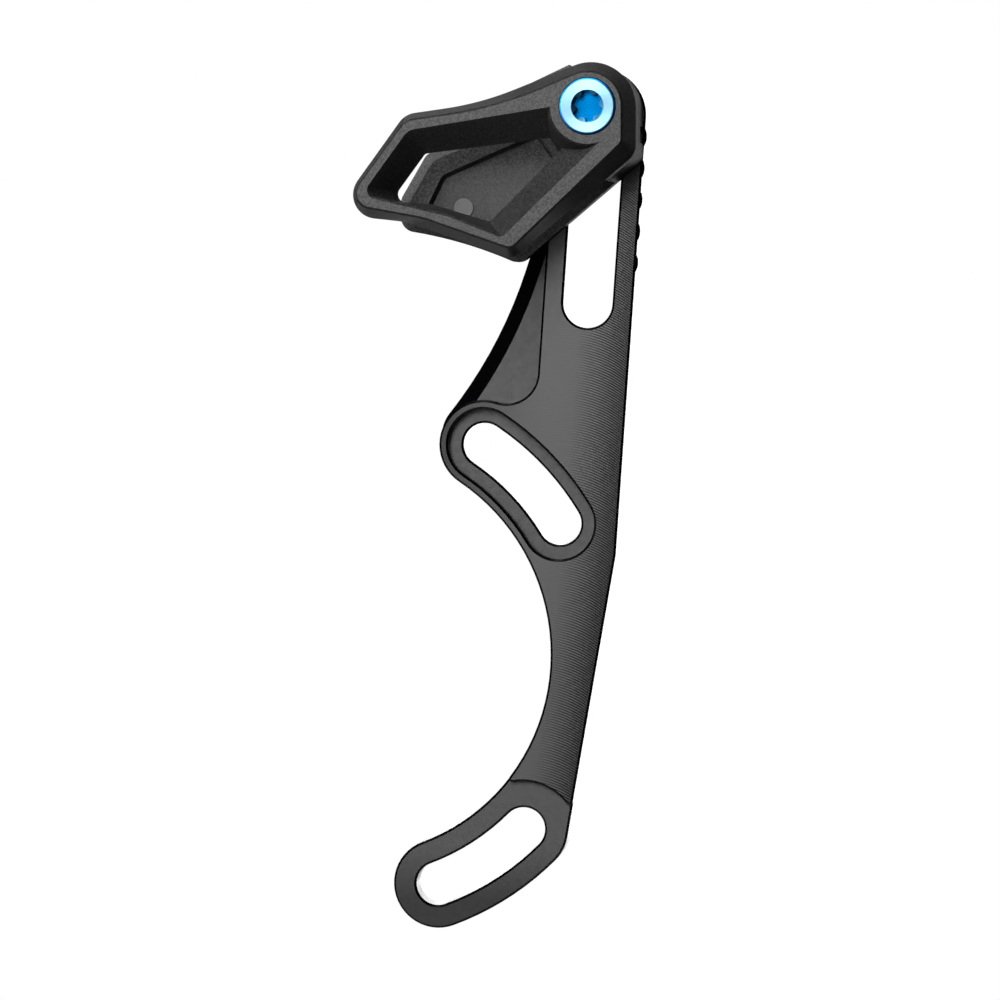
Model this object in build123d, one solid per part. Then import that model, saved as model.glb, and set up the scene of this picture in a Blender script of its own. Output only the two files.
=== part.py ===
from build123d import *
import os
from math import acos, atan2, cos, hypot, radians, sin, sqrt, tan

# Chain guide with a machined backplate and a two-piece moulded cage.
# The origin is the crank axis in the mounting plane, +Z is up and the chain runs on the -Y side.
# Heights are measured from the mounting plane towards the chain. All sizes are in millimetres.

# Mounting: two curved slots on one circle about the crank axis, angles in degrees from +X
SLOT_CIRCLE_R = 37.2
MOUNT_SLOT_W = 6.4
UPPER_SLOT_ANGLES = (31.4, 56.6)
LOWER_SLOT_ANGLES = (-68.9, -44.8)
LUG_WALL = 3.45
PLATE_T = 4.5
COUNTERBORE_LEDGE = 2.1
COUNTERBORE_DEPTH = 1.5
LOWER_LUG_T = 3.5
STEP_MARGIN = 1.65
STEP_DROP = 1.1
STEP_CORNER_R = 0.5
PLATE_EDGE_CHAMFER = 0.35

# Neck of the plate: its height slot starts at a place measured from the end of the upper mounting slot
HEIGHT_SLOT_SHIFT = 15.6
HEIGHT_SLOT_RISE = 20.97
HEIGHT_SLOT_TILT = 3.92
HEIGHT_TRAVEL = 28.2
NECK_WALL = 2.02
NECK_TOP_DROP = 0.45
NECK_CORNER_R = 4.7
EDGE_BEND_DROP = 36.9

# Gusset between the neck and the upper lug, set back from the face of the plate
GUSSET_DROP = 1.5
GUSSET_FOOT_MARGIN = 0.6
GUSSET_FOOT_ANGLE = 141.4
GUSSET_FOOT_R = 5.0
GUSSET_HOLLOW_R = 68.6
GUSSET_HOLLOW_SPAN = 20.3
GUSSET_SLOPE_W = 2.4
GUSSET_SLOPE_H = 2.0

# Index bumps on the outer edge of the neck, chamfered below the plate's own edge
BUMP_COUNT = 5
BUMP_PITCH = 4.64
BUMP_FIRST_DROP = 3.3
BUMP_R = 3.0
BUMP_PROUD = 0.28
BUMP_DROP = 0.07

# Cage, as a stack on the face of the plate
INNER_PLATE_T = 3.0
CHAIN_GAP = 9.0
OUTER_GUIDE_T = 4.0

# Outer guide outlines, as corners from the bolt axis: right, up, corner radius
RIM_BOSS_WALL = 0.8
BOSS_FLARE = 1.6
WINDOW_BOSS_WALL = 1.4
WINDOW_BOSS_FLARE = 1.6
BASE_TIP = (-37.8, -15.2, 3.5)
BASE_SHOULDER = (-27.2, -0.75, 3.4)
BASE_BEND = (-16.1, 0.75, 45.0)
BASE_HEEL_DROP = 6.7
BASE_HEEL_R = 2.9
BASE_TOE = (-11.4, -21.8, 2.0)
BASE_KNEE = (-26.9, -16.4, 12.0)
RIM_TIP = (-35.4, -13.8, 2.2)
RIM_SHOULDER = (-26.5, -1.85, 3.0)
RIM_BEND = (-13.3, -0.1, 60.0)
RIM_HEEL_DROP = 5.2
RIM_HEEL_R = 1.2
RIM_TOE = (-11.1, -20.4, 1.5)
RIM_KNEE = (-23.9, -15.9, 12.0)
WINDOW_FRONT = (
    (-32.8, -12.6, 1.2),
    (-26.0, -3.4, 2.0),
    (-3.0, 0.15, 0.3),
    (2.2, -4.5, 0.3),
    (-12.5, -18.65, 0.8),
    (-20.1, -15.6, 8.0),
)
WINDOW_REAR = (
    (-29.3, -13.4, 1.2),
    (-24.2, -6.5, 0.8),
    (-3.5, -4.0, 0.1),
    (-2.9, -4.6, 0.1),
    (-14.7, -16.4, 0.4),
    (-23.3, -13.8, 8.0),
)
RIM_BEVEL = 0.3

# Inner guide outlines, as corners from the bolt axis: right, up, corner radius
INNER_BOSS_INSET = 0.3
INNER_TOP = (-25.6, -6.2, 2.0)
INNER_CHEEK = (-29.4, -12.7, 2.0)
INNER_HEEL_DROP = 7.3
INNER_HEEL_R = 2.5
INNER_NECK = (-11.5, 0.0, 4.0)
INNER_LEFT = -29.7
INNER_EDGE_SLOPE = 0.842
INNER_FOOT_DROP = 25.3
INNER_FOOT_CORNER_R = 2.2
LEAD_IN_W = 1.4
LEAD_IN_DEPTH = 0.45
RECESS_DEPTH = 0.8
RECESS_SLOPE_W = 0.55
RECESS = (
    (-25.0, -14.2, 0.3),
    (-22.8, -9.7, 1.2),
    (-19.4, -8.25, 1.2),
    (-7.8, -3.2, 1.0),
    (-3.6, -9.0, 1.0),
    (-13.0, -17.4, 1.0),
)
TOWER_WALL = ((1.5, -10.3), (-6.9, -1.2))
TAB = ((-9.7, 4.3), (-4.3, 6.8))
TAB_DEPTH = 3.5
EJECTOR_AT = (-20.1, -14.1)
EJECTOR_D = 2.9
EJECTOR_PROUD = 0.15
EJECTOR_GAP_W = 0.15
EJECTOR_GAP_DEPTH = 0.12
RIB_ENDS = ((-9.1, -4.4), (-6.8, -7.8))
RIB_W = 0.8
NOTCH_DROP = (2.25, 4.75)
NOTCH_DEPTH = 0.6
NOTCH_H = 3.5

# Bolt with a six-lobe socket, and the nut that runs in a channel behind the height slot
BOLT_D = 5.0
BOLT_HEAD_D = 8.0
BOLT_HEAD_H = 2.8
BOLT_EDGE_W = 0.25
BOLT_EDGE_DROP = 0.1
BOLT_STAND_PROUD = 0.2
BOLT_TIP_PROUD = 0.2
BOLT_HOLE_CLEARANCE = 0.15
HEAD_CLEARANCE = 0.15
THREAD_CLEARANCE = 0.05
SOCKET_LOBES = 6
SOCKET_D = 4.5
SOCKET_VALLEY_D = 3.4
SOCKET_DEPTH = 1.9
SOCKET_FLUTE_R = 0.55
SOCKET_MOUTH_D = 4.75
SOCKET_MOUTH_DEPTH = 0.35
SOCKET_TURN = 38.0
NUT_NECK_WALL = 1.0
NUT_NECK_CLEARANCE = 0.15
NUT_NECK_DROP = 0.2
NUT_SHOULDER = 1.05
NUT_FLANGE_T = 2.0
NUT_REAR_GAP = 0.5
NUT_FLAT_L = 1.5
NUT_FLAT_CLEARANCE = 0.15

CRANK = (0.0, 0.0)


def polar(radius, angle, centre=CRANK):
    return (centre[0] + radius * cos(radians(angle)), centre[1] + radius * sin(radians(angle)))


# Widths, radii and places that several pieces share
LUG_W = MOUNT_SLOT_W + 2 * LUG_WALL
COUNTERBORE_W = MOUNT_SLOT_W + 2 * COUNTERBORE_LEDGE
HEIGHT_SLOT_W = BOLT_D + 2 * (NUT_NECK_WALL + NUT_NECK_CLEARANCE)
NUT_CHANNEL_W = HEIGHT_SLOT_W + 2 * NUT_SHOULDER
HALF_NECK = NUT_CHANNEL_W / 2 + NECK_WALL
HEAD_RECESS_R = BOLT_HEAD_D / 2 + HEAD_CLEARANCE
RIM_BOSS_R = HEAD_RECESS_R + RIM_BOSS_WALL
BASE_BOSS_R = RIM_BOSS_R + BOSS_FLARE
WINDOW_BOSS_R = HEAD_RECESS_R + WINDOW_BOSS_WALL
INNER_BOSS_R = BASE_BOSS_R - INNER_BOSS_INSET
UPPER_END = polar(SLOT_CIRCLE_R, UPPER_SLOT_ANGLES[1])
LOWER_END = polar(SLOT_CIRCLE_R, LOWER_SLOT_ANGLES[1])
HEIGHT_SLOT_FOOT = (UPPER_END[0] + HEIGHT_SLOT_SHIFT, UPPER_END[1] + HEIGHT_SLOT_RISE)
TILT = radians(HEIGHT_SLOT_TILT)
ALONG = (sin(TILT), cos(TILT))
ACROSS = (cos(TILT), -sin(TILT))


def on_neck(rise, offset=0.0):
    """A point of the neck: how far up from the slot's lower end, how far right of its axis."""
    x = HEIGHT_SLOT_FOOT[0] + rise * ALONG[0] + offset * ACROSS[0]
    z = HEIGHT_SLOT_FOOT[1] + rise * ALONG[1] + offset * ACROSS[1]
    return (x, z)


BOLT = on_neck(HEIGHT_TRAVEL)
INNER_FOOT_R = hypot(*BOLT) - INNER_FOOT_DROP
NUT_SEAT = NUT_REAR_GAP + NUT_FLANGE_T
FACE = PLATE_T
INNER_FACE = FACE + INNER_PLATE_T
BASE = INNER_FACE + CHAIN_GAP
RIM = BASE + OUTER_GUIDE_T
HEAD_TOP = RIM + BOLT_STAND_PROUD
HEAD_SEAT = HEAD_TOP - BOLT_HEAD_H


def slab(face, low, high):
    """A flat shape given a thickness, between two heights above the mounting plane."""
    return extrude(Plane.XZ.offset(low) * face, high - low)


def curved_slot(angles, width):
    return SlotArc(CenterArc(CRANK, SLOT_CIRCLE_R, angles[0], angles[1] - angles[0]), width)


def straight_slot(start, end, width):
    return SlotCenterPoint(((start[0] + end[0]) / 2, (start[1] + end[1]) / 2), end, width)


def disc(centre, radius):
    return Pos(*centre) * Circle(radius)


def from_bolt(point):
    return (BOLT[0] + point[0], BOLT[1] + point[1])


def rounded(corners):
    """A closed outline from corners given as right, up and radius from the bolt axis."""
    points = [from_bolt(corner) for corner in corners]
    return make_face(FilletPolyline(*points, radius=[corner[2] for corner in corners], close=True))


def plain(points):
    return make_face(Polyline(*[from_bolt(point) for point in points], close=True))


def boss_corner(before, radius):
    """The corner where the tangent from the last point to the boss meets the boss's right side."""
    tangent = atan2(before[1], before[0]) % radians(360) - acos(radius / hypot(before[0], before[1]))
    return (radius, radius * tan(tangent / 2), radius)


def nearest_corner(shape, point):
    return shape.vertices().sort_by_distance((point[0], point[1], 0))[0]


def make_backplate():
    # The right edge bends once and then runs tangent to a circle about the lower lug's end
    neck_top = on_neck(HEIGHT_TRAVEL - NECK_TOP_DROP)
    bend = on_neck(-EDGE_BEND_DROP, HALF_NECK)
    edge_r = LUG_W / 2
    to_lug = (LOWER_END[0] - bend[0], LOWER_END[1] - bend[1])
    reach = sqrt(hypot(*to_lug) ** 2 - edge_r ** 2)
    heading = atan2(to_lug[1], to_lug[0]) + atan2(edge_r, reach)
    edge_end = (bend[0] + reach * cos(heading), bend[1] + reach * sin(heading))

    # The left side runs down the neck and rounds into the upper lug
    round_centre = neck_round_centre()
    round_start = (round_centre[0] + NECK_CORNER_R * ACROSS[0], round_centre[1] + NECK_CORNER_R * ACROSS[1])
    web = make_face(
        Polyline(
            on_neck(0, HALF_NECK), bend, edge_end, LOWER_END, CRANK, UPPER_END, round_centre, round_start,
            on_neck(0, -HALF_NECK), close=True,
        )
    )
    web -= disc(round_centre, NECK_CORNER_R)
    profile = web + straight_slot(on_neck(0), neck_top, 2 * HALF_NECK) + curved_slot(UPPER_SLOT_ANGLES, LUG_W)
    profile -= disc(CRANK, SLOT_CIRCLE_R - LUG_W / 2)

    # The full thickness stops at a round step above the lower lug, where its two lowest corners are rounded
    step_centre = (LOWER_END[0], LOWER_END[1] - STEP_DROP)
    step_r = LUG_W / 2 + STEP_MARGIN
    counterbore_floor = FACE - COUNTERBORE_DEPTH
    full_profile = profile - disc(step_centre, step_r)
    full_profile = fillet(full_profile.vertices().sort_by(Axis.Y)[:2], STEP_CORNER_R)
    main = slab(full_profile, 0, FACE)
    main -= slab(curved_slot(UPPER_SLOT_ANGLES, COUNTERBORE_W), counterbore_floor, FACE)
    main -= slab(straight_slot(on_neck(0), BOLT, HEIGHT_SLOT_W), 0, FACE)
    face_edges = main.edges().filter_by_position(Axis.Y, -FACE, -FACE)
    main = chamfer(face_edges, PLATE_EDGE_CHAMFER) - mount_slot_cut(UPPER_SLOT_ANGLES, counterbore_floor)

    # The lower lug laps under the full thickness as far as its wall is wide
    lug_profile = curved_slot(LOWER_SLOT_ANGLES, LUG_W) + (profile & disc(step_centre, step_r + LUG_WALL))
    lug = slab(lug_profile, 0, LOWER_LUG_T)
    lug_edges = lug.edges().filter_by_position(Axis.Y, -LOWER_LUG_T, -LOWER_LUG_T)
    lug = chamfer(lug_edges, PLATE_EDGE_CHAMFER) - mount_slot_cut(LOWER_SLOT_ANGLES, LOWER_LUG_T)
    main = main + make_gusset() + lug
    for number in range(BUMP_COUNT):
        main += make_bump(HEIGHT_TRAVEL - BUMP_FIRST_DROP - number * BUMP_PITCH)

    half_flat = NUT_FLAT_L / 2
    channel = straight_slot(on_neck(-half_flat), on_neck(HEIGHT_TRAVEL + half_flat), NUT_CHANNEL_W)
    return main - slab(channel, 0, NUT_SEAT)


def neck_round_centre():
    """Centre of the round that touches the neck's left side and the end of the upper lug."""
    start = on_neck(0, -HALF_NECK - NECK_CORNER_R)
    reach = LUG_W / 2 + NECK_CORNER_R
    gap = (start[0] - UPPER_END[0], start[1] - UPPER_END[1])
    along = gap[0] * ALONG[0] + gap[1] * ALONG[1]
    drop = along - sqrt(along ** 2 - (hypot(*gap) ** 2 - reach ** 2))
    return (start[0] - drop * ALONG[0], start[1] - drop * ALONG[1])


def make_bump(rise):
    """An index bump at some height on the neck, as deep into the neck as half its wall."""
    bump = slab(disc(on_neck(rise, HALF_NECK + BUMP_PROUD - BUMP_R), BUMP_R), 0, FACE)
    face_edge = bump.edges().filter_by_position(Axis.Y, -FACE, -FACE)
    bump = chamfer(face_edge, PLATE_EDGE_CHAMFER + BUMP_PROUD + BUMP_DROP)
    return bump - slab(straight_slot(on_neck(0), BOLT, 2 * HALF_NECK - NECK_WALL), 0, FACE)


def mount_slot_cut(angles, face):
    """A mounting slot from the rear up to a face, with its edge broken there."""
    narrow = curved_slot(angles, MOUNT_SLOT_W)
    wide = curved_slot(angles, MOUNT_SLOT_W + 2 * PLATE_EDGE_CHAMFER)
    mouth = [Plane.XZ.offset(face - PLATE_EDGE_CHAMFER) * narrow, Plane.XZ.offset(face) * wide]
    return slab(narrow, 0, face) + loft(mouth, ruled=True)


def make_gusset():
    """The lower web on the left of the neck: its outer edge slopes, and hollows out towards the upper lug."""
    height = FACE - GUSSET_DROP
    inside_neck = NECK_WALL / 2 - HALF_NECK
    foot_reach = LUG_W / 2 + GUSSET_FOOT_MARGIN - GUSSET_FOOT_R
    foot_centre = polar(foot_reach, GUSSET_FOOT_ANGLE, UPPER_END)
    hollow_centre = polar(GUSSET_FOOT_R + GUSSET_HOLLOW_R, GUSSET_FOOT_ANGLE, foot_centre)
    foot = CenterArc(foot_centre, GUSSET_FOOT_R, GUSSET_FOOT_ANGLE + 90, -90)
    hollow = CenterArc(hollow_centre, GUSSET_HOLLOW_R, GUSSET_FOOT_ANGLE + 180, GUSSET_HOLLOW_SPAN)

    # Above the hollow the edge runs straight on until it is inside the neck
    across = Vector(*ACROSS)
    top = hollow @ 1
    heading = hollow % 1
    still_to_go = inside_neck - (top - Vector(*HEIGHT_SLOT_FOOT)).dot(across)
    straight = Line(top, top + heading * (still_to_go / heading.dot(across)))
    slot_middle = polar(SLOT_CIRCLE_R, sum(UPPER_SLOT_ANGLES) / 2)
    closing = Polyline(straight @ 1, on_neck(0, inside_neck), slot_middle, UPPER_END, foot @ 0)

    block = slab(make_face(foot + hollow + straight + closing), 0, height)
    front = block.faces().filter_by_position(Axis.Y, -height, -height)[0]
    middles = [curve @ 0.5 for curve in (foot, hollow, straight)]
    outer = [front.edges().sort_by_distance((middle.X, -height, middle.Y))[0] for middle in middles]
    block = chamfer(outer, GUSSET_SLOPE_W, GUSSET_SLOPE_H, reference=front)
    return block - slab(curved_slot(UPPER_SLOT_ANGLES, COUNTERBORE_W), 0, height)


def guide_ring(boss_r, tip, shoulder, bend, heel_drop, heel_r, toe, knee):
    """The kite outline of the outer guide, round the bolt's boss at its right end."""
    boss = boss_corner(bend, boss_r)
    return rounded((tip, shoulder, bend, boss, (boss_r, -heel_drop, heel_r), toe, knee))


def flared_block(rear, front, bevel):
    """A block through the outer guide's thickness between two outlines, with a bevel along its front edge."""
    shoulder = Plane.XZ.offset(RIM - RIM_BEVEL) * offset(front, -bevel / 2)
    walls = loft([Plane.XZ.offset(BASE) * rear, shoulder], ruled=True)
    edge = loft([shoulder, Plane.XZ.offset(RIM) * offset(front, bevel / 2)], ruled=True)
    return walls + edge


def make_outer_guide():
    base = guide_ring(
        BASE_BOSS_R, BASE_TIP, BASE_SHOULDER, BASE_BEND, BASE_HEEL_DROP, BASE_HEEL_R, BASE_TOE, BASE_KNEE
    )
    rim = guide_ring(
        RIM_BOSS_R, RIM_TIP, RIM_SHOULDER, RIM_BEND, RIM_HEEL_DROP, RIM_HEEL_R, RIM_TOE, RIM_KNEE
    )
    window = flared_block(rounded(WINDOW_REAR), rounded(WINDOW_FRONT), RIM_BEVEL)
    boss_foot = disc(BOLT, WINDOW_BOSS_R + WINDOW_BOSS_FLARE)
    window -= flared_block(boss_foot, disc(BOLT, WINDOW_BOSS_R), -RIM_BEVEL)
    body = flared_block(base, rim, -RIM_BEVEL) - window
    body -= slab(disc(BOLT, BOLT_D / 2 + BOLT_HOLE_CLEARANCE), BASE, RIM)
    return body - slab(disc(BOLT, HEAD_RECESS_R), HEAD_SEAT, RIM)


def inner_outline():
    """The rear half's outline: its lower edge follows the chainring about the crank axis."""
    heel = (INNER_BOSS_R, -INNER_HEEL_DROP, INNER_HEEL_R)
    below = (INNER_LEFT, heel[1] + INNER_EDGE_SLOPE * (INNER_LEFT - heel[0]), 0)
    boss = boss_corner(INNER_NECK, INNER_BOSS_R)
    face = rounded((INNER_TOP, INNER_CHEEK, below, heel, boss, INNER_NECK))
    face -= disc(CRANK, INNER_FOOT_R)
    left_foot = (BOLT[0] + INNER_LEFT, sqrt(INNER_FOOT_R ** 2 - (BOLT[0] + INNER_LEFT) ** 2))
    face = fillet(nearest_corner(face, left_foot), INNER_FOOT_CORNER_R)
    toe = face.vertices().sort_by(Axis.Y)[0]
    return fillet(toe, INNER_FOOT_CORNER_R)


def make_inner_guide():
    outline = inner_outline()
    plate = slab(outline, FACE, INNER_FACE)
    face_edges = plate.edges().filter_by_position(Axis.Y, -INNER_FACE, -INNER_FACE)
    wall_x = BOLT[0] + TOWER_WALL[1][0]
    lead_in_edges = face_edges.filter_by(lambda edge: edge.center().X < wall_x)
    front = plate.faces().filter_by_position(Axis.Y, -INNER_FACE, -INNER_FACE)[0]
    plate = chamfer(lead_in_edges, LEAD_IN_W, LEAD_IN_DEPTH, reference=front)

    # A recess with sloping sides, and in it the mark of an ejector pin with a fine groove round it
    floor = INNER_FACE - RECESS_DEPTH
    recess = rounded(RECESS)
    mouth = offset(recess, RECESS_SLOPE_W)
    plate -= loft([Plane.XZ.offset(floor) * recess, Plane.XZ.offset(INNER_FACE) * mouth], ruled=True)
    pin = from_bolt(EJECTOR_AT)
    plate -= slab(disc(pin, EJECTOR_D / 2 + EJECTOR_GAP_W), floor - EJECTOR_GAP_DEPTH, floor)
    plate += slab(disc(pin, EJECTOR_D / 2), floor - EJECTOR_GAP_DEPTH, floor + EJECTOR_PROUD)
    plate += slab(straight_slot(*[from_bolt(end) for end in RIB_ENDS], RIB_W), floor, INNER_FACE)

    # The standing wall round the bolt spaces the two halves apart and closes the chain gap on one side
    reach = 2 * INNER_BOSS_R
    region = plain((*TOWER_WALL, (-reach, reach), (reach, reach), (reach, -reach)))
    tab = plain((*TAB, (TAB[1][0], TAB[1][1] - TAB_DEPTH), (TAB[0][0] + TAB_DEPTH, TAB[0][1] - TAB_DEPTH)))
    body = plate + slab(tab, FACE, INNER_FACE) + slab(outline & region, FACE, BASE)
    body -= slab(disc(BOLT, BOLT_D / 2 + BOLT_HOLE_CLEARANCE), FACE, BASE)
    notch_x = INNER_BOSS_R - NOTCH_DEPTH
    notch = plain(
        (
            (notch_x, -NOTCH_DROP[0]), (reach, -NOTCH_DROP[0]),
            (reach, -NOTCH_DROP[1]), (notch_x, -NOTCH_DROP[1]),
        )
    )
    return body - slab(notch, FACE, FACE + NOTCH_H)


def make_guide_bolt():
    head = slab(disc(BOLT, BOLT_HEAD_D / 2), HEAD_SEAT, HEAD_TOP)
    top = head.faces().filter_by_position(Axis.Y, -HEAD_TOP, -HEAD_TOP)[0]
    head = chamfer(top.edges(), BOLT_EDGE_W, BOLT_EDGE_DROP, reference=top)
    socket = Circle(SOCKET_D / 2)
    flute_r = SOCKET_VALLEY_D / 2 + SOCKET_FLUTE_R
    for number in range(SOCKET_LOBES):
        socket -= disc(polar(flute_r, (number + 0.5) * 360 / SOCKET_LOBES), SOCKET_FLUTE_R)
    head -= slab(Pos(*BOLT) * Rot(0, 0, SOCKET_TURN) * socket, HEAD_TOP - SOCKET_DEPTH, HEAD_TOP)
    mouth_foot = Plane.XZ.offset(HEAD_TOP - SOCKET_MOUTH_DEPTH) * disc(BOLT, SOCKET_VALLEY_D / 2)
    head -= loft([mouth_foot, Plane.XZ.offset(HEAD_TOP) * disc(BOLT, SOCKET_MOUTH_D / 2)], ruled=True)
    shank = slab(disc(BOLT, BOLT_D / 2 - THREAD_CLEARANCE), NUT_REAR_GAP - BOLT_TIP_PROUD, HEAD_SEAT)
    return head + shank


def make_slot_nut():
    half_flat = NUT_FLAT_L / 2
    flange_w = NUT_CHANNEL_W - 2 * NUT_FLAT_CLEARANCE
    flange = straight_slot(on_neck(HEIGHT_TRAVEL - half_flat), on_neck(HEIGHT_TRAVEL + half_flat), flange_w)
    neck = disc(BOLT, HEIGHT_SLOT_W / 2 - NUT_NECK_CLEARANCE)
    nut = slab(flange, NUT_REAR_GAP, NUT_SEAT) + slab(neck, NUT_SEAT, FACE - NUT_NECK_DROP)
    return nut - slab(disc(BOLT, BOLT_D / 2), 0, FACE)


os.makedirs("parts", exist_ok=True)
export_step(make_backplate(), "parts/backplate.step")
export_step(make_inner_guide(), "parts/inner_guide.step")
export_step(make_outer_guide(), "parts/outer_guide.step")
export_step(make_guide_bolt(), "parts/guide_bolt.step")
export_step(make_slot_nut(), "parts/slot_nut.step")
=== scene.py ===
import math

import bmesh
import bpy
from mathutils import Matrix, Vector


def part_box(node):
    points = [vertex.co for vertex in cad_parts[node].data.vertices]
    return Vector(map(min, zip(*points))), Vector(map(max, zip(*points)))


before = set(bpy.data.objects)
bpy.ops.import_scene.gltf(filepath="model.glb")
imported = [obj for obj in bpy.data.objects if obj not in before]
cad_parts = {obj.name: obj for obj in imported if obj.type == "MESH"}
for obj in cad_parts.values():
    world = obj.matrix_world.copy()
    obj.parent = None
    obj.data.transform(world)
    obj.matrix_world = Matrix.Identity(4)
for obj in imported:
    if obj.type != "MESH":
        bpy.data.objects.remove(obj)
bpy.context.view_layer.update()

# Backplate: one piece of aluminium plate, milled all over and anodised black. Two screws hold it
# through the curved slots in its lugs, and its neck carries the cage.
PLATE_T = 4.5
FACE_SKIN = 0.1
MM = 1000.0


def linear(hex_colour):
    """An sRGB hex colour as the linear colour that a shader takes."""
    channels = [int(hex_colour[i:i + 2], 16) / 255 for i in (1, 3, 5)]
    return tuple(c / 12.92 if c <= 0.04045 else ((c + 0.055) / 1.055) ** 2.4 for c in channels) + (1.0,)


def add_node(tree, kind, inputs=None, **settings):
    """A node with its settings, and its inputs as values or as links from other sockets. A colour
    mix takes its factor at 0 and its colours at 6 and 7, and gives its result at 2."""
    node = tree.nodes.new(kind)
    for name, value in settings.items():
        setattr(node, name, value)
    for name, value in (inputs or {}).items():
        if isinstance(value, bpy.types.NodeSocket):
            tree.links.new(value, node.inputs[name])
        else:
            node.inputs[name].default_value = value
    return node


# Black anodised aluminium: a hard satin oxide over the marks of the cutter. A face mill went down
# both faces, with one bend in its path, and left an arc at each step of its feed. The arcs are level
# and faint at the left, and slope down and deepen to the right, where their lower flanks are dull.
# The side-milled walls are smoother, and the foot of the lower lug is duller. Real feed marks are
# about half as wide as these, which are as coarse as they need to be to show.
ANODISE_BLACK = "#020203"
OXIDE_IOR = 1.65
FEED_PITCH = 0.38
FEED_LEAN = 0.20
FEED_STREAK = 0.8
FACE_MILL_R = 16.0
ROOT_FLOOR = 1.0
PATH_BEND_X, PATH_BEND_Z = 30.3, 14.75
PATH_LEAN_ABOVE, PATH_LEAN_BELOW = 0.0685, 0.13
FAINT_TO, DEEP_FROM = 2.0, 8.0
FAINT_SHARE = 0.06
FACE_SHINE = 0.5
FLANK_LOSS = 0.75
FOOT_TOP, FOOT_BOTTOM = -29.0, -37.0
FOOT_SHARE = 0.5
MOTTLE = 0.9
NOISE_LOW, NOISE_HIGH = 0.3, 0.7
OXIDE_ROUGH_MIN, OXIDE_ROUGH_MAX = 0.43, 0.55
FACE_POLISH, WALL_POLISH = 0.14, 0.20
SQUARE_ON = 0.9
milled = bpy.data.materials.new("black_anodised_milled_aluminium")
milled.use_nodes = True
tree = milled.node_tree
place = add_node(tree, "ShaderNodeTexCoord").outputs["Object"]
in_mm = add_node(tree, "ShaderNodeVectorMath", {0: place, "Scale": MM}, operation="SCALE").outputs[0]
axes = add_node(tree, "ShaderNodeSeparateXYZ", {0: in_mm}).outputs

above_bend = add_node(
    tree, "ShaderNodeMath", {0: axes["Z"], 1: PATH_BEND_Z}, operation="SUBTRACT"
).outputs[0]
lean_up = add_node(
    tree, "ShaderNodeMath", {0: above_bend, 1: PATH_LEAN_ABOVE}, operation="MULTIPLY"
).outputs[0]
lean_down = add_node(
    tree, "ShaderNodeMath", {0: above_bend, 1: PATH_LEAN_BELOW}, operation="MULTIPLY"
).outputs[0]
lean = add_node(tree, "ShaderNodeMath", {0: lean_up, 1: lean_down}, operation="MINIMUM").outputs[0]
from_bend = add_node(
    tree, "ShaderNodeMath", {0: axes["X"], 1: PATH_BEND_X}, operation="SUBTRACT"
).outputs[0]
off_path = add_node(tree, "ShaderNodeMath", {0: from_bend, 1: lean}, operation="SUBTRACT").outputs[0]

squared = add_node(tree, "ShaderNodeMath", {0: off_path, 1: off_path}, operation="MULTIPLY").outputs[0]
left_over = add_node(
    tree, "ShaderNodeMath", {0: FACE_MILL_R ** 2, 1: squared}, operation="SUBTRACT"
).outputs[0]
above_zero = add_node(
    tree, "ShaderNodeMath", {0: left_over, 1: ROOT_FLOOR}, operation="MAXIMUM"
).outputs[0]
arc_rise = add_node(tree, "ShaderNodeMath", {0: above_zero}, operation="SQRT").outputs[0]
feed = add_node(tree, "ShaderNodeMath", {0: axes["Z"], 1: arc_rise}, operation="SUBTRACT").outputs[0]
phase = add_node(
    tree, "ShaderNodeMath", {0: feed, 1: 2 * math.pi / FEED_PITCH}, operation="MULTIPLY"
).outputs[0]
ridges = add_node(tree, "ShaderNodeMath", {0: phase}, operation="COSINE").outputs[0]

mid_depth = add_node(tree, "ShaderNodeMath", {0: axes["Y"], 1: PLATE_T / 2}, operation="ADD").outputs[0]
from_middle = add_node(tree, "ShaderNodeMath", {0: mid_depth}, operation="ABSOLUTE").outputs[0]
on_face = add_node(
    tree, "ShaderNodeMath", {0: from_middle, 1: PLATE_T / 2 - FACE_SKIN}, operation="GREATER_THAN"
).outputs[0]
upright = add_node(tree, "ShaderNodeNewGeometry").outputs["Normal"]
front_lean = add_node(tree, "ShaderNodeSeparateXYZ", {0: upright}).outputs["Y"]
frontal = add_node(tree, "ShaderNodeMath", {0: front_lean}, operation="ABSOLUTE").outputs[0]
is_wall = add_node(tree, "ShaderNodeMath", {0: frontal, 1: SQUARE_ON}, operation="LESS_THAN").outputs[0]

steepness = add_node(
    tree, "ShaderNodeMapRange",
    {"Value": off_path, "From Min": FAINT_TO, "From Max": DEEP_FROM, "To Min": FAINT_SHARE, "To Max": 1.0},
).outputs[0]
face_steepness = add_node(
    tree, "ShaderNodeMath", {0: steepness, 1: on_face}, operation="MULTIPLY"
).outputs[0]
steep_ridges = add_node(
    tree, "ShaderNodeMath", {0: ridges, 1: face_steepness}, operation="MULTIPLY"
).outputs[0]
ridge_lean = add_node(
    tree, "ShaderNodeMath", {0: steep_ridges, 1: FEED_LEAN}, operation="MULTIPLY"
).outputs[0]
aside = add_node(tree, "ShaderNodeMath", {0: off_path, 1: on_face}, operation="MULTIPLY").outputs[0]
across_marks = add_node(tree, "ShaderNodeCombineXYZ", {"X": aside, "Z": arc_rise}).outputs[0]
tangent = add_node(tree, "ShaderNodeVectorMath", {0: across_marks}, operation="NORMALIZE").outputs[0]
tilt = add_node(
    tree, "ShaderNodeVectorMath", {0: tangent, "Scale": ridge_lean}, operation="SCALE"
).outputs[0]
tilted = add_node(tree, "ShaderNodeVectorMath", {0: upright, 1: tilt}, operation="ADD").outputs[0]
feed_marks = add_node(tree, "ShaderNodeVectorMath", {0: tilted}, operation="NORMALIZE").outputs[0]

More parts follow.
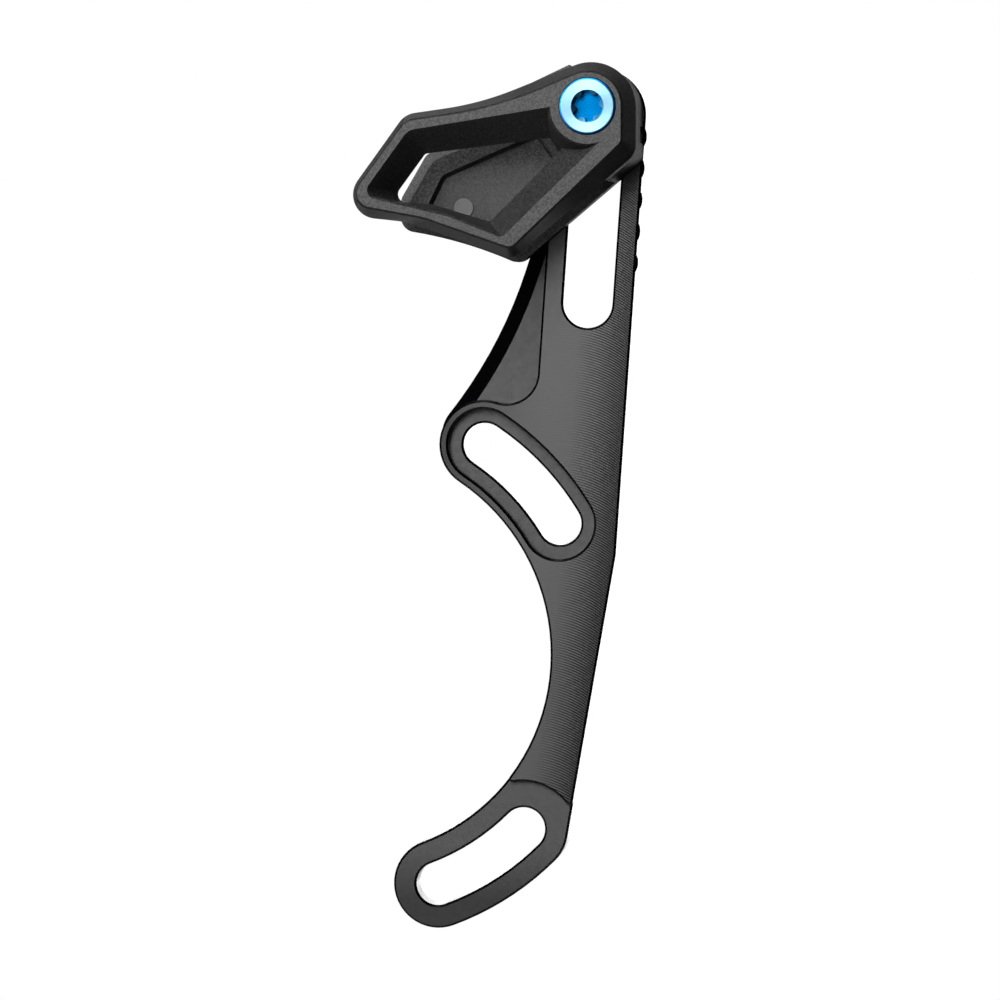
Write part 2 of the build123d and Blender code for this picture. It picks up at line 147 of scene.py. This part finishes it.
lower_flank = add_node(
    tree, "ShaderNodeMath", {0: face_steepness, 1: steep_ridges}, operation="SUBTRACT"
).outputs[0]
mark_shine = add_node(
    tree, "ShaderNodeMapRange",
    {"Value": lower_flank, "From Max": 2.0, "To Min": FACE_SHINE, "To Max": FACE_SHINE * (1 - FLANK_LOSS)},
).outputs[0]
dulling = add_node(
    tree, "ShaderNodeMapRange",
    {"Value": axes["Z"], "From Min": FOOT_BOTTOM, "From Max": FOOT_TOP, "To Min": FOOT_SHARE},
).outputs[0]
shine = add_node(tree, "ShaderNodeMath", {0: mark_shine, 1: dulling}, operation="MULTIPLY").outputs[0]

mottle = add_node(
    tree, "ShaderNodeTexNoise", {"Vector": in_mm, "Scale": 1 / MOTTLE, "Detail": 4.0, "Roughness": 0.65}
).outputs["Fac"]
cloudy = add_node(
    tree, "ShaderNodeMapRange",
    {"Value": mottle, "From Min": NOISE_LOW, "From Max": NOISE_HIGH,
     "To Min": OXIDE_ROUGH_MIN, "To Max": OXIDE_ROUGH_MAX},
).outputs[0]
wall_polish = add_node(
    tree, "ShaderNodeMath", {0: is_wall, 1: WALL_POLISH}, operation="MULTIPLY"
).outputs[0]
polish = add_node(
    tree, "ShaderNodeMath", {0: on_face, 1: FACE_POLISH, 2: wall_polish}, operation="MULTIPLY_ADD"
).outputs[0]
satin = add_node(tree, "ShaderNodeMath", {0: cloudy, 1: polish}, operation="SUBTRACT").outputs[0]

shader = tree.nodes["Principled BSDF"]
shader.inputs["Base Color"].default_value = linear(ANODISE_BLACK)
shader.inputs["IOR"].default_value = OXIDE_IOR
shader.inputs["Anisotropic"].default_value = FEED_STREAK
tree.links.new(satin, shader.inputs["Roughness"])
tree.links.new(shine, shader.inputs["Specular IOR Level"])
tree.links.new(feed_marks, shader.inputs["Normal"])
tree.links.new(tangent, shader.inputs["Tangent"])
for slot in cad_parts["backplate"].material_slots:
    slot.material = milled

# Slot nut: a T-shaped steel nut, turned, milled and zinc plated. It slides in the channel behind
# the height slot and takes the guide bolt.
# Zinc-plated steel: pale grey metal with a cloudy satin sheen.
ZINC_GREY = "#a9abb0"
ZINC_CLOUD = 1.1
ZINC_ROUGH_MIN, ZINC_ROUGH_MAX = 0.28, 0.46
zinc = bpy.data.materials.new("zinc_plated_steel")
zinc.use_nodes = True
tree = zinc.node_tree
place = add_node(tree, "ShaderNodeTexCoord").outputs["Object"]
cloud = add_node(
    tree, "ShaderNodeTexNoise", {"Vector": place, "Scale": MM / ZINC_CLOUD, "Detail": 3.0}
).outputs["Fac"]
satin = add_node(
    tree, "ShaderNodeMapRange", {"Value": cloud, "To Min": ZINC_ROUGH_MIN, "To Max": ZINC_ROUGH_MAX}
).outputs[0]
shader = tree.nodes["Principled BSDF"]
shader.inputs["Base Color"].default_value = linear(ZINC_GREY)
shader.inputs["Metallic"].default_value = 1.0
tree.links.new(satin, shader.inputs["Roughness"])
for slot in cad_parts["slot_nut"].material_slots:
    slot.material = zinc

# Inner and outer guide: two mouldings of black nylon filled with glass fibre. The inner one's
# tower spaces them apart, and the guide bolt clamps them together and to the plate.
# Glass-filled nylon: near black, with the satin grain of a spark-eroded mould and grey flecks of
# fibre. Seen at a low angle the grain shades itself, so the shine goes. An ejector pin left a
# smooth round on the floor of the inner guide's recess, and its pale grey is painted sheen for
# the light that smooth face gives back. Real grain and fibre are finer than these, which are as
# coarse as they need to be to show.
RESIN_BLACK = "#101010"
FIBRE_GREY = "#3a3a3a"
# The pin's pale grey is painted sheen for the light its smooth round gives back.
PAINTED_PIN_SHEEN_GREY = "#707070"
NYLON_IOR = 1.55
GRAIN = 0.18
GRAIN_DEPTH = 0.026
NYLON_ROUGH_MIN, NYLON_ROUGH_MAX = 0.38, 0.5
FLECK = 0.20
FLECK_LOW, FLECK_HIGH = 0.35, 0.65
PIN_AT = (17.91, -6.85, 66.06)
PIN_R = 1.45
SHADE_FROM, SHADE_TO = 0.7, 0.86
NYLON_SHINE, SHADED_SHINE = 0.45, 0.004
nylon = bpy.data.materials.new("black_glass_filled_nylon")
nylon.use_nodes = True
tree = nylon.node_tree
place = add_node(tree, "ShaderNodeTexCoord").outputs["Object"]
in_mm = add_node(tree, "ShaderNodeVectorMath", {0: place, "Scale": MM}, operation="SCALE").outputs[0]
pin_reach = add_node(
    tree, "ShaderNodeVectorMath", {0: in_mm, 1: PIN_AT}, operation="DISTANCE"
).outputs["Value"]
moulded = add_node(tree, "ShaderNodeMath", {0: pin_reach, 1: PIN_R}, operation="GREATER_THAN").outputs[0]
grain = add_node(
    tree, "ShaderNodeTexNoise", {"Vector": in_mm, "Scale": 1 / GRAIN, "Detail": 2.0, "Roughness": 0.6}
).outputs["Fac"]
sparked = add_node(tree, "ShaderNodeMath", {0: grain, 1: moulded}, operation="MULTIPLY").outputs[0]
skin = add_node(
    tree, "ShaderNodeBump", {"Height": sparked, "Distance": GRAIN_DEPTH / MM, "Strength": 1.0}
).outputs[0]
satin = add_node(
    tree, "ShaderNodeMapRange",
    {"Value": grain, "From Min": NOISE_LOW, "From Max": NOISE_HIGH,
     "To Min": NYLON_ROUGH_MIN, "To Max": NYLON_ROUGH_MAX},
).outputs[0]
low_angle = add_node(tree, "ShaderNodeLayerWeight", {"Blend": 0.5}).outputs["Facing"]
shine = add_node(
    tree, "ShaderNodeMapRange",
    {"Value": low_angle, "From Min": SHADE_FROM, "From Max": SHADE_TO,
     "To Min": NYLON_SHINE, "To Max": SHADED_SHINE},
).outputs[0]
fleck = add_node(
    tree, "ShaderNodeTexNoise", {"Vector": in_mm, "Scale": 1 / FLECK, "Detail": 0.0}
).outputs["Fac"]
fibre = add_node(
    tree, "ShaderNodeMapRange", {"Value": fleck, "From Min": FLECK_LOW, "From Max": FLECK_HIGH}
).outputs[0]
speckled = add_node(
    tree, "ShaderNodeMix", {0: fibre, 6: linear(RESIN_BLACK), 7: linear(FIBRE_GREY)}, data_type="RGBA"
).outputs[2]
# The pin's round takes the pale grey of painted sheen; elsewhere the nylon has its fibre flecks.
shade = add_node(
    tree, "ShaderNodeMix", {0: moulded, 6: linear(PAINTED_PIN_SHEEN_GREY), 7: speckled}, data_type="RGBA"
).outputs[2]
shader = tree.nodes["Principled BSDF"]
shader.inputs["IOR"].default_value = NYLON_IOR
tree.links.new(shade, shader.inputs["Base Color"])
tree.links.new(satin, shader.inputs["Roughness"])
tree.links.new(shine, shader.inputs["Specular IOR Level"])
tree.links.new(skin, shader.inputs["Normal"])
for name in ("inner_guide", "outer_guide"):
    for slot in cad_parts[name].material_slots:
        slot.material = nylon

# Guide bolt: turned from aluminium bar and anodised blue, with a six-lobe socket in its flat
# head. It clamps both guides to the nut in the height slot.
# Blue anodised aluminium: the rings of the turned face spread the light into a bow tie. The
# face's pale blue is painted sheen for the white that its clear oxide gives back, and the
# countersunk mouth of the socket is a paler blue of painted sheen too. The head's shallow edge
# shows the dye, and the socket's darker blues, banded with the rings of its drill, are painted
# shade for its depth. Real rings of both kinds are finer than these, which are as coarse as they
# need to be to show.
# The face's and the mouth's pale blues are painted sheen, the socket's dark blues are painted shade, and the
# edge's blue is the dye.
PAINTED_SHEEN_FACE_BLUE = "#88b7cd"
PAINTED_SHEEN_MOUTH_BLUE = "#62b4ea"
EDGE_BLUE = "#1486e6"
PAINTED_SHADE_SOCKET_BLUE, PAINTED_SHADE_SOCKET_RING_BLUE = "#005389", "#006099"
BOLT_ROUGH = 0.3
HEAD_SKIN = 0.02
RING_PITCH = 0.18
RING_DEPTH = 0.005
RING_STREAK = 0.7
MOUTH_DEPTH = 0.36
MOUTH_R = 2.6
DRILL_PITCH = 0.45
low, high = (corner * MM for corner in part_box("guide_bolt"))
bolt_axis = ((low.x + high.x) / 2, 0.0, (low.z + high.z) / 2)
blue = bpy.data.materials.new("blue_anodised_turned_aluminium")
blue.use_nodes = True
tree = blue.node_tree
place = add_node(tree, "ShaderNodeTexCoord").outputs["Object"]
in_mm = add_node(tree, "ShaderNodeVectorMath", {0: place, "Scale": MM}, operation="SCALE").outputs[0]
from_axis = add_node(
    tree, "ShaderNodeVectorMath", {0: in_mm, 1: bolt_axis}, operation="SUBTRACT"
).outputs[0]
radial = add_node(
    tree, "ShaderNodeVectorMath", {0: from_axis, 1: (1.0, 0.0, 1.0)}, operation="MULTIPLY"
).outputs[0]
radius = add_node(tree, "ShaderNodeVectorMath", {0: radial}, operation="LENGTH").outputs["Value"]
phase = add_node(
    tree, "ShaderNodeMath", {0: radius, 1: 2 * math.pi / RING_PITCH}, operation="MULTIPLY"
).outputs[0]
rings = add_node(tree, "ShaderNodeMath", {0: phase}, operation="SINE").outputs[0]
turned = add_node(
    tree, "ShaderNodeBump", {"Height": rings, "Distance": RING_DEPTH / 2 / MM, "Strength": 1.0}
).outputs[0]
depth = add_node(tree, "ShaderNodeSeparateXYZ", {0: in_mm}).outputs["Y"]
on_top = add_node(
    tree, "ShaderNodeMath", {0: depth, 1: low.y + MOUTH_DEPTH}, operation="LESS_THAN"
).outputs[0]
on_face = add_node(
    tree, "ShaderNodeMath", {0: depth, 1: low.y + HEAD_SKIN}, operation="LESS_THAN"
).outputs[0]
in_mouth = add_node(tree, "ShaderNodeMath", {0: radius, 1: MOUTH_R}, operation="LESS_THAN").outputs[0]
drill_phase = add_node(
    tree, "ShaderNodeMath", {0: radius, 1: 2 * math.pi / DRILL_PITCH}, operation="MULTIPLY"
).outputs[0]
drill_rings = add_node(tree, "ShaderNodeMath", {0: drill_phase}, operation="SINE").outputs[0]
drilled = add_node(tree, "ShaderNodeMapRange", {"Value": drill_rings, "From Min": -1.0}).outputs[0]
# The socket's darker blues are painted shade for its depth, banded with its drill rings.
socket_painted_shade = add_node(
    tree, "ShaderNodeMix", {0: drilled, 6: linear(PAINTED_SHADE_SOCKET_BLUE), 7: linear(PAINTED_SHADE_SOCKET_RING_BLUE)},
    data_type="RGBA",
).outputs[2]
# Inside the mouth's radius the paler blue is painted sheen; outside it, the head's edge shows the dye.
rim_dye_and_painted_sheen = add_node(
    tree, "ShaderNodeMix", {0: in_mouth, 6: linear(EDGE_BLUE), 7: linear(PAINTED_SHEEN_MOUTH_BLUE)}, data_type="RGBA"
).outputs[2]
below_face_dye_sheen_and_shade = add_node(
    tree, "ShaderNodeMix", {0: on_top, 6: socket_painted_shade, 7: rim_dye_and_painted_sheen}, data_type="RGBA"
).outputs[2]
# The flat face takes the pale blue of painted sheen.
dye_with_painted_sheen_and_shade = add_node(
    tree, "ShaderNodeMix", {0: on_face, 6: below_face_dye_sheen_and_shade, 7: linear(PAINTED_SHEEN_FACE_BLUE)}, data_type="RGBA"
).outputs[2]
streak = add_node(tree, "ShaderNodeMath", {0: on_face, 1: RING_STREAK}, operation="MULTIPLY").outputs[0]
tangent = add_node(tree, "ShaderNodeVectorMath", {0: radial}, operation="NORMALIZE").outputs[0]
shader = tree.nodes["Principled BSDF"]
shader.inputs["Metallic"].default_value = 1.0
shader.inputs["Roughness"].default_value = BOLT_ROUGH
tree.links.new(dye_with_painted_sheen_and_shade, shader.inputs["Base Color"])
tree.links.new(streak, shader.inputs["Anisotropic"])
tree.links.new(turned, shader.inputs["Normal"])
tree.links.new(tangent, shader.inputs["Tangent"])
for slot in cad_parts["guide_bolt"].material_slots:
    slot.material = blue

# Floor: a plain sweep of paper some way below the part, which is held up by its mount. It gives
# back light as a mid grey and is lifted to pale for the camera. It keeps the part's soft shadow
# and fades into the white around it.
FLOOR_AT = Vector((0.02, -0.03, -0.10))
FLOOR_R = 0.30
FLOOR_FADE_R = 0.06
FLOOR_SIDES = 96
PAPER_GREY = "#808080"
CAMERA_LIFT = 0.72
floor_mesh = bpy.data.meshes.new("floor")
shape = bmesh.new()
bmesh.ops.create_circle(
    shape, cap_ends=True, segments=FLOOR_SIDES, radius=FLOOR_R, matrix=Matrix.Translation(FLOOR_AT)
)
shape.to_mesh(floor_mesh)
shape.free()
floor = bpy.data.objects.new("floor", floor_mesh)
bpy.context.scene.collection.objects.link(floor)
paper = bpy.data.materials.new("pale_paper_sweep")
paper.use_nodes = True
tree = paper.node_tree
tree.nodes.remove(tree.nodes["Principled BSDF"])
place = add_node(tree, "ShaderNodeTexCoord").outputs["Object"]
reach = add_node(
    tree, "ShaderNodeVectorMath", {0: place, 1: FLOOR_AT}, operation="DISTANCE"
).outputs["Value"]
fade = add_node(
    tree, "ShaderNodeMapRange", {"Value": reach, "From Min": FLOOR_FADE_R, "From Max": FLOOR_R},
    interpolation_type="SMOOTHSTEP",
).outputs[0]
matt = add_node(tree, "ShaderNodeBsdfDiffuse", {"Color": linear(PAPER_GREY)}).outputs[0]
seen = add_node(tree, "ShaderNodeLightPath").outputs["Is Camera Ray"]
lift = add_node(tree, "ShaderNodeMath", {0: seen, 1: CAMERA_LIFT}, operation="MULTIPLY").outputs[0]
glow = add_node(tree, "ShaderNodeEmission", {"Strength": lift}).outputs[0]
lit = add_node(tree, "ShaderNodeAddShader", {0: matt, 1: glow}).outputs[0]
clear = add_node(tree, "ShaderNodeBsdfTransparent").outputs[0]
sweep = add_node(tree, "ShaderNodeMixShader", {0: fade, 1: lit, 2: clear}).outputs[0]
tree.links.new(sweep, tree.nodes["Material Output"].inputs["Surface"])
floor_mesh.materials.append(paper)

# Surroundings: white to the camera, and white straight behind the part in what it mirrors, where
# the paper wall stands. Elsewhere they are a dim room with a little even fill.
WALL_EDGE, WALL_FULL = 0.71, 0.97
MATT_FILL, GLOSS_FILL = 0.06, 0.005
world = bpy.data.worlds.new("studio")
bpy.context.scene.world = world
world.use_nodes = True
tree = world.node_tree
tree.nodes.remove(tree.nodes["Background"])
paths = add_node(tree, "ShaderNodeLightPath").outputs
heading = add_node(tree, "ShaderNodeTexCoord").outputs["Generated"]
rearward = add_node(tree, "ShaderNodeSeparateXYZ", {0: heading}).outputs["Y"]
wall = add_node(
    tree, "ShaderNodeMapRange", {"Value": rearward, "From Min": WALL_EDGE, "From Max": WALL_FULL},
    interpolation_type="SMOOTHSTEP",
).outputs[0]
mirrored = add_node(
    tree, "ShaderNodeMath", {0: paths["Is Glossy Ray"], 1: wall}, operation="MULTIPLY"
).outputs[0]
direct = add_node(
    tree, "ShaderNodeMath", {0: paths["Is Camera Ray"], 1: paths["Is Transmission Ray"]}, operation="MAXIMUM"
).outputs[0]
shows = add_node(tree, "ShaderNodeMath", {0: direct, 1: mirrored}, operation="MAXIMUM").outputs[0]
fill = add_node(
    tree, "ShaderNodeMapRange", {"Value": paths["Is Glossy Ray"], "To Min": MATT_FILL, "To Max": GLOSS_FILL}
).outputs[0]
room = add_node(tree, "ShaderNodeBackground", {"Strength": fill}).outputs[0]
paper_wall = add_node(
    tree, "ShaderNodeBackground", {"Color": (1.0, 1.0, 1.0, 1.0), "Strength": 1.0}
).outputs[0]
around = add_node(tree, "ShaderNodeMixShader", {0: shows, 1: room, 2: paper_wall}).outputs[0]
tree.links.new(around, tree.nodes["World Output"].inputs["Surface"])

# Lights: a key softbox high on the left lights what is matt. The others are what the gloss
# mirrors: a softbox above the camera, a wide one beside it, a narrow one further left, and the
# light on the paper wall.
SUBJECT = Vector((0.023, -0.0045, 0.023))
for name, bearing, distance, size, energy, lights_matt in (
    ("key_softbox", (-40.0, 38.0), 0.90, (0.50, 0.50), 12.6, True),
    ("overhead_softbox", (-9.0, 32.0), 0.90, (0.50, 0.65), 6.4, False),
    ("front_softbox", (-26.0, 6.0), 1.00, (0.90, 0.80), 4.0, False),
    ("left_softbox", (-40.0, 15.0), 1.00, (0.22, 0.40), 1.9, False),
    ("paper_wall_light", (180.0, 0.0), 1.00, (0.45, 0.45), 1.4, False),
):
    lamp = bpy.data.lights.new(name, "AREA")
    lamp.shape = "RECTANGLE"
    lamp.size, lamp.size_y = size
    lamp.energy = energy
    lamp_object = bpy.data.objects.new(name, lamp)
    bpy.context.scene.collection.objects.link(lamp_object)
    turn, rise = (math.radians(angle) for angle in bearing)
    towards = Vector((math.sin(turn) * math.cos(rise), -math.cos(turn) * math.cos(rise), math.sin(rise)))
    lamp_object.location = SUBJECT + distance * towards
    lamp_object.rotation_euler = (-towards).to_track_quat("-Z", "Y").to_euler()
    lamp_object.visible_camera = False
    lamp_object.visible_diffuse = lights_matt
    lamp_object.visible_glossy = not lights_matt

# Camera: a long lens at the photograph's viewing angle, a little right of the part and just above
# its middle.
SENSOR, LENS = 36.0, 147.05
CAMERA_AT = Vector((0.11128, -0.60377, 0.04783))
CAMERA_AIM = Vector((0.023, -0.0045, 0.022866))
NEAREST = 0.01
camera = bpy.data.cameras.new("camera")
camera.sensor_width = SENSOR
camera.lens = LENS
camera.clip_start = NEAREST
camera_object = bpy.data.objects.new("camera", camera)
bpy.context.scene.collection.objects.link(camera_object)
camera_object.location = CAMERA_AT
camera_object.rotation_euler = (CAMERA_AIM - CAMERA_AT).to_track_quat("-Z", "Y").to_euler()
bpy.context.scene.camera = camera_object
bpy.context.scene.view_settings.view_transform = "Standard"
